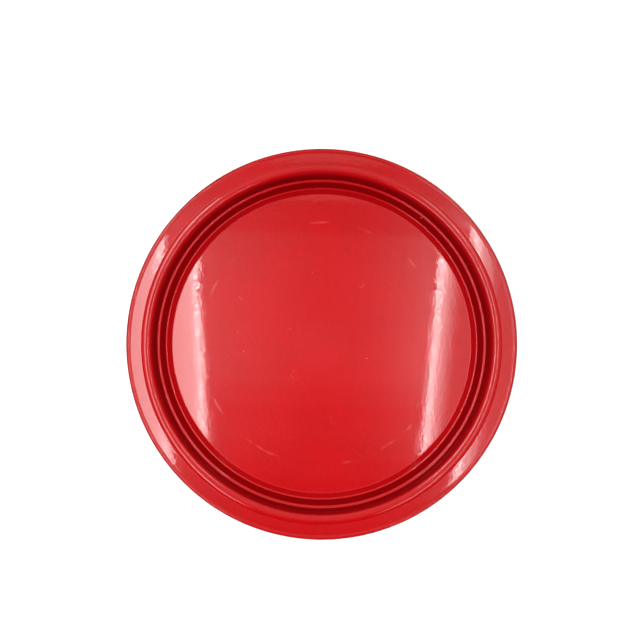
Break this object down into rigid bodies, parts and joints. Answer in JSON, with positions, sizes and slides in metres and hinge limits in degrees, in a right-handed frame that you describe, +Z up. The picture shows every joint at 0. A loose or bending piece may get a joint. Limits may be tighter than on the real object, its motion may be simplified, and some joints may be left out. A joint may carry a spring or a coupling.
{
  "type": "serving tray",
  "caption": "Round shallow pressed-steel serving tray in red paint, with a flat base, stepped wall, raised lip, flat flange and an edge rolled round a wire.",
  "frame": {"origin": "middle of the underside of the base, on the surface that the tray stands on", "axes": "+Z up, along the tray's axis of symmetry; X and Y lie in the base and are alike"},
  "size_m": [0.33, 0.33, 0.0235],
  "materials": {
    "red_paint": "semi-gloss sprayed enamel with a fine orange peel and light scuffs",
    "bare_steel": "drawn wire"
  },
  "bodies": {
    "root": {"pressed_dish": "red_paint", "rim_wire": "bare_steel"}
  },
  "joints": []
}
